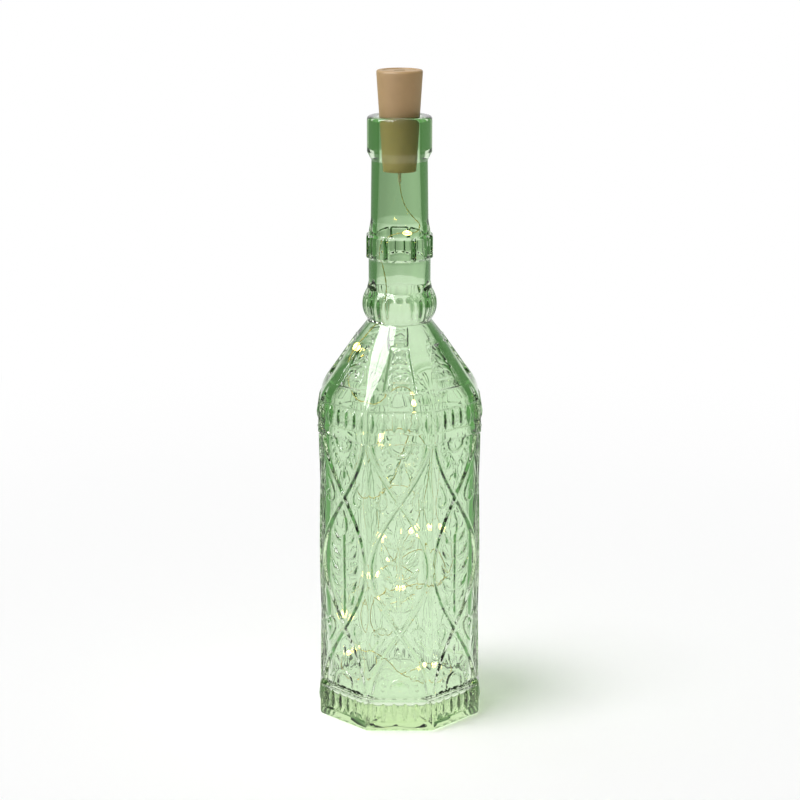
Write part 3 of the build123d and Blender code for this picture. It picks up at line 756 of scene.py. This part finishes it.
add_node(tree, "OutputMaterial", {"Surface": plastic.outputs[0]})
cork = new_piece("cork_stopper", mesh_of(shape, "cork_stopper"), tan_plastic)
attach(cork, "cork")
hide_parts("cork_shell")

# The cartridge's lid closes the top of the stopper. It keeps its CAD shape, and it is moulded in the
# same tan plastic, so that only a fine ring shows round it.


def paint(material, *names):
    """Give CAD nodes their material."""
    for name in names:
        for slot in nodes[name].material_slots:
            slot.material = material


paint(tan_plastic, "cartridge_lid")

# The carrier that holds the cells, and the switch's knob, are injection-moulded in black plastic.
# That gives them a soft sheen and a fine even grain.


def plain_finish(name, dark, light, grain_size, **sockets):
    """A finish whose tone and surface wander a little, by a grain drawn coarse enough to show."""
    material, tree = new_material(name)
    place = add_node(tree, "TexCoord").outputs["Object"]
    grain = add_node(tree, "TexNoise", {"Vector": place, "Scale": 1 / grain_size, "Detail": 3})
    tint = add_node(
        tree,
        "Mix",
        {0: grain.outputs[0], 6: linear(dark), 7: linear(light)},
        data_type="RGBA",
    )
    relief = add_node(
        tree,
        "Bump",
        {"Strength": 0.2, "Distance": 0.05 * mm, "Height": grain.outputs[0]},
    )
    inputs = {"Base Color": tint.outputs[2], "Normal": relief.outputs[0]}
    inputs.update({socket.replace("_", " "): value for socket, value in sockets.items()})
    shader = add_node(tree, "BsdfPrincipled", inputs)
    add_node(tree, "OutputMaterial", {"Surface": shader.outputs[0]})
    return material


black_plastic = plain_finish("moulded_black_abs", "#1b1b1c", "#262627", 1.2 * mm, Roughness=0.42)
paint(black_plastic, "battery_carrier", "switch_knob")

# The cells' cans and the contact strips are stamped from nickel-plated steel: bright, a little warm
# and cloudy, with no mirror left after the press.
plated_steel = plain_finish(
    "nickel_plated_steel",
    "#b9bab6",
    "#d0d0cb",
    2.5 * mm,
    Metallic=1.0,
    Roughness=0.28,
)
paint(plated_steel, "cell_1", "cell_2", "cell_3")
paint(plated_steel, "positive_strip", "negative_plate", "centre_contact", "outer_contact")

# The slide switch under the lid has a folded case of tinned sheet steel, greyer and duller than the
# plated parts.
tinned_steel = plain_finish(
    "tinned_sheet_steel",
    "#a5a7a6",
    "#bfc1c0",
    1.5 * mm,
    Metallic=1.0,
    Roughness=0.38,
)
paint(tinned_steel, "switch_case")

# The small round board on the bay's floor is glass cloth in epoxy under green lacquer, which gives
# it a thin gloss over a dark, slightly clouded green.
board_laminate = plain_finish(
    "epoxy_glass_board",
    "#1f5a34",
    "#2a6e42",
    1.0 * mm,
    Roughness=0.35,
    Coat_Weight=0.4,
)
paint(board_laminate, "contact_board")

# The chip resistor is a chip of fired ceramic under a near-black glaze, matt at its edges. It is
# soldered to the board.
paint(plain_finish("fired_ceramic", "#222226", "#303036", 0.4 * mm, Roughness=0.5), "resistor")

# The sleeve is a short silicone tube, shrunk round the string where it leaves the stopper: pale
# cream, soft and matt.
pale_silicone = plain_finish("pale_silicone_sleeve", "#d8cfae", "#e6ddc0", 0.8 * mm, Roughness=0.55)
paint(pale_silicone, "wire_sleeve")

# Pale matt table: it is lit plainly and keeps the shadow, and far from the bottle it fades to the
# plain white of the room. To rays through the glass it shows painted shade: far off it is dimmer
# and greener, as where a studio's white card would end.
table_radius = 9
table_gap = 0.0002
far_level = 0.50
far_tint = "#eaffe4"
# Painted shade in what the glass mirrors: the table and the room show dimmer to mirrored rays
# towards the camera. Light that turned back inside the glass is painted deep green, standing in for
# its long way through the glass.
painted_mirror_shade = 0.75
painted_turned_green = linear("#56814e")


def glass_rays(tree, forward, dim_at, bright_at):
    """The light path's outputs, whether a ray was last in or on the glass, how often it turned back
    inside, and the level of what it mirrors, darkened by painted shade where forward is at dim_at."""
    rays = add_node(tree, "LightPath").outputs
    on_glass = add_node(
        tree,
        "Math",
        {0: rays["Is Glossy Ray"], 1: rays["Is Transmission Ray"]},
        operation="MAXIMUM",
    )
    through = add_node(
        tree,
        "Math",
        {0: on_glass.outputs[0], 1: rays["Diffuse Depth"]},
        operation="SUBTRACT",
        use_clamp=True,
    )
    turns = add_node(
        tree,
        "Math",
        {0: rays["Glossy Depth"], 1: rays["Transmission Depth"]},
        operation="MINIMUM",
    )
    in_front = add_node(
        tree,
        "MapRange",
        {
            "Value": forward,
            "From Min": dim_at,
            "From Max": bright_at,
            "To Min": painted_mirror_shade,
            "To Max": 0.0,
        },
    )
    dimmed = add_node(
        tree,
        "Math",
        {0: rays["Glossy Depth"], 1: in_front.outputs[0]},
        operation="MULTIPLY",
    )
    mirrored = add_node(
        tree,
        "Math",
        {0: 1.0, 1: dimmed.outputs[0]},
        operation="SUBTRACT",
        use_clamp=True,
    )
    return rays, through.outputs[0], turns.outputs[0], mirrored.outputs[0]


def dim_colour(tree, level, lowest, tint):
    """White where the level is 1, and the tint where it is lowest."""
    share = add_node(tree, "MapRange", {"Value": level, "From Min": lowest, "From Max": 1.0})
    inputs = {0: share.outputs[0], 6: linear(tint), 7: linear("#ffffff")}
    return add_node(tree, "Mix", inputs, data_type="RGBA").outputs[2]


shape = bmesh.new()
bmesh.ops.create_circle(shape, cap_ends=True, segments=96, radius=table_radius)
bmesh.ops.translate(shape, vec=(0, 0, -table_gap), verts=shape.verts)
table, tree = new_material("matt_white_table")
place = add_node(tree, "TexCoord").outputs["Object"]
spot = add_node(tree, "SeparateXYZ", {0: place}).outputs
away = add_node(tree, "VectorMath", {0: place}, operation="LENGTH").outputs["Value"]
light_path, through, turns, mirrored = glass_rays(tree, spot["Y"], -0.6, -0.1)
# To the camera
matt = add_node(tree, "BsdfDiffuse", {"Color": linear("#f2f2f2")})
lift = add_node(tree, "Emission", {"Color": linear("#ffffff"), "Strength": 0.08})
near_table = add_node(tree, "AddShader", {0: matt.outputs[0], 1: lift.outputs[0]})
white = add_node(tree, "Emission", {"Color": linear("#ffffff"), "Strength": 1.0})
fade = add_node(
    tree,
    "MapRange",
    {"Value": away, "From Min": 0.25, "From Max": 0.8},
    interpolation_type="SMOOTHSTEP",
)
looked_at = add_node(
    tree,
    "MixShader",
    {0: fade.outputs[0], 1: near_table.outputs[0], 2: white.outputs[0]},
)
# Through the glass, with painted shade: dimmer and greener far off
painted_far_shade = add_node(
    tree,
    "MapRange",
    {"Value": away, "From Min": 0.3, "From Max": 1.9, "To Min": 1.0, "To Max": far_level},
    interpolation_type="SMOOTHSTEP",
)
# Painted light: to rays through the glass the table shows brighter to the left and dimmer to the right
from_left = add_node(
    tree,
    "MapRange",
    {"Value": spot["X"], "From Min": -0.35, "From Max": 0.35, "To Min": 0.82, "To Max": 1.18},
)
level = add_node(
    tree,
    "Math",
    {0: painted_far_shade.outputs[0], 1: from_left.outputs[0]},
    operation="MULTIPLY",
)
near_level = add_node(tree, "Math", {0: level.outputs[0], 1: 1.0}, operation="MINIMUM")
painted_through_level = add_node(tree, "Math", {0: near_level.outputs[0], 1: mirrored}, operation="MULTIPLY")
painted_through_colour = dim_colour(tree, painted_far_shade.outputs[0], far_level, far_tint)
seen_through = add_node(tree, "Emission", {"Color": painted_through_colour, "Strength": painted_through_level.outputs[0]})
# By light that turned back in the glass: painted deep green, stronger near the bottle
far_off = add_node(
    tree,
    "MapRange",
    {"Value": away, "From Min": 0.9, "From Max": 1.3},
    interpolation_type="SMOOTHSTEP",
)
across_table = add_node(tree, "Math", {0: spot["X"]}, operation="ABSOLUTE")
beside = add_node(
    tree,
    "MapRange",
    {"Value": across_table.outputs[0], "From Min": 0.1, "From Max": 0.2},
    interpolation_type="SMOOTHSTEP",
)
off_table = add_node(
    tree,
    "Math",
    {0: far_off.outputs[0], 1: beside.outputs[0]},
    operation="MAXIMUM",
)
turned_share = add_node(
    tree,
    "Math",
    {0: turns, 1: off_table.outputs[0]},
    operation="MULTIPLY",
    use_clamp=True,
)
turned_level = add_node(
    tree,
    "MapRange",
    {"Value": away, "From Min": 0.8, "From Max": 1.2, "To Min": 1.7, "To Max": 1.0},
    interpolation_type="SMOOTHSTEP",
)
turned_light = add_node(
    tree,
    "Emission",
    {"Color": painted_turned_green, "Strength": turned_level.outputs[0]},
)
in_glass = add_node(
    tree,
    "MixShader",
    {0: turned_share.outputs[0], 1: seen_through.outputs[0], 2: turned_light.outputs[0]},
)
# By what stands on it; to rays through the glass it is a darker grey, painted shade so that less light
# reaches what is inside the glass
dim_matt = add_node(tree, "BsdfDiffuse", {"Color": linear("#8c8c8c")})
lit_matt = add_node(
    tree,
    "MixShader",
    {0: light_path["Is Transmission Ray"], 1: matt.outputs[0], 2: dim_matt.outputs[0]},
)
other = add_node(tree, "MixShader", {0: through, 1: lit_matt.outputs[0], 2: in_glass.outputs[0]})
surface = add_node(
    tree,
    "MixShader",
    {0: light_path["Is Camera Ray"], 1: other.outputs[0], 2: looked_at.outputs[0]},
)
add_node(tree, "OutputMaterial", {"Surface": surface.outputs[0]})
floor = new_piece("table", mesh_of(shape, "table"), table)

# A white room round the table. It shines softly from the left on all that is matt; to the glass it
# shows painted shade, dimmer and greener to the sides, by the same rules as the table.
side_level = 0.45
side_tint = "#ccf6c1"
room = bpy.data.worlds.new("white_room")
scene.world = room
room.use_nodes = True
tree = room.node_tree
tree.nodes.clear()
direction = add_node(tree, "SeparateXYZ", {0: add_node(tree, "TexCoord").outputs["Generated"]}).outputs
light_path, through, turns, mirrored = glass_rays(tree, direction["Y"], -0.4, 0.0)
bright = add_node(tree, "Background", {"Color": linear("#ffffff"), "Strength": 1.0})
# Through the glass, with painted shade: dimmer and greener to the sides
sideways = add_node(tree, "Math", {0: direction["X"]}, operation="ABSOLUTE")
painted_side_shade = add_node(
    tree,
    "MapRange",
    {"Value": sideways.outputs[0], "From Min": 0.4, "From Max": 0.8, "To Min": 1.0, "To Max": side_level},
    interpolation_type="SMOOTHSTEP",
)
side_shade_level = add_node(tree, "Math", {0: painted_side_shade.outputs[0], 1: mirrored}, operation="MULTIPLY")
side_shade_colour = dim_colour(tree, painted_side_shade.outputs[0], side_level, side_tint)
studio = add_node(tree, "Background", {"Color": side_shade_colour, "Strength": side_shade_level.outputs[0]})
to_side = add_node(
    tree,
    "MapRange",
    {"Value": sideways.outputs[0], "From Min": 0.3, "From Max": 0.6},
    interpolation_type="SMOOTHSTEP",
)
# Painted deep green for light that turned back inside the glass, where it heads to the sides
turned_share = add_node(
    tree,
    "Math",
    {0: turns, 1: to_side.outputs[0]},
    operation="MULTIPLY",
    use_clamp=True,
)
turned_light = add_node(tree, "Background", {"Color": painted_turned_green, "Strength": 1.0})
in_glass = add_node(
    tree,
    "MixShader",
    {0: turned_share.outputs[0], 1: studio.outputs[0], 2: turned_light.outputs[0]},
)
# On matt surfaces, and with painted shade less on those inside the glass: rays through the glass get three
# tenths of it
from_window = add_node(
    tree,
    "MapRange",
    {"Value": direction["X"], "From Min": -1.0, "From Max": 1.0, "To Min": 0.80, "To Max": 0.0},
)
let_in = add_node(
    tree,
    "MapRange",
    {"Value": light_path["Is Transmission Ray"], "To Min": 1.0, "To Max": 0.3},
)
soft_level = add_node(
    tree,
    "Math",
    {0: from_window.outputs[0], 1: let_in.outputs[0]},
    operation="MULTIPLY",
)
soft = add_node(tree, "Background", {"Color": linear("#ffffff"), "Strength": soft_level.outputs[0]})
unseen = add_node(tree, "MixShader", {0: through, 1: soft.outputs[0], 2: in_glass.outputs[0]})
sky = add_node(
    tree,
    "MixShader",
    {0: light_path["Is Camera Ray"], 1: unseen.outputs[0], 2: bright.outputs[0]},
)
add_node(tree, "OutputWorld", {"Surface": sky.outputs[0]})

# A large soft lamp at the left, high up, throws the shadow to the right; a window of two panes
# stands there too, and shows as the white reflection on the shoulder.
shoulder = Vector((0, 0, 0.18))


def aim(lamp, place):
    """Put a lamp at a place, turned towards the bottle's shoulder."""
    lamp.location = place
    lamp.rotation_euler = (shoulder - Vector(place)).to_track_quat("-Z", "Y").to_euler()
    scene.collection.objects.link(lamp)


key = bpy.data.lights.new("key", "SUN")
key.energy = 2.0
key.angle = math.radians(22)
key_lamp = bpy.data.objects.new("key", key)
key_lamp.visible_glossy = False
aim(key_lamp, (-0.60, -0.33, 2.1))
for number, side in enumerate((-1, 1)):
    pane = bpy.data.lights.new(f"window_{number}", "AREA")
    pane.shape = "RECTANGLE"
    pane.size = 0.46
    pane.size_y = 1.0
    pane.energy = 17
    pane_lamp = bpy.data.objects.new(f"window_{number}", pane)
    pane_lamp.visible_diffuse = False
    pane_lamp.visible_transmission = False
    aim(pane_lamp, (-0.70 + side * 0.17, -0.46 - side * 0.22, 1.0))

# Each light also shines on the wire round it
for number, place in enumerate(light_places):
    lit = bpy.data.lights.new(f"glow_{number}", "POINT")
    lit.energy = 0.001
    lit.color = linear("#ffd98a")[:3]
    lit.shadow_soft_size = 1.2 * mm
    lit_lamp = bpy.data.objects.new(f"glow_{number}", lit)
    lit_lamp.visible_glossy = False
    lit_lamp.visible_transmission = False
    lit_lamp.location = place.translation
    scene.collection.objects.link(lit_lamp)
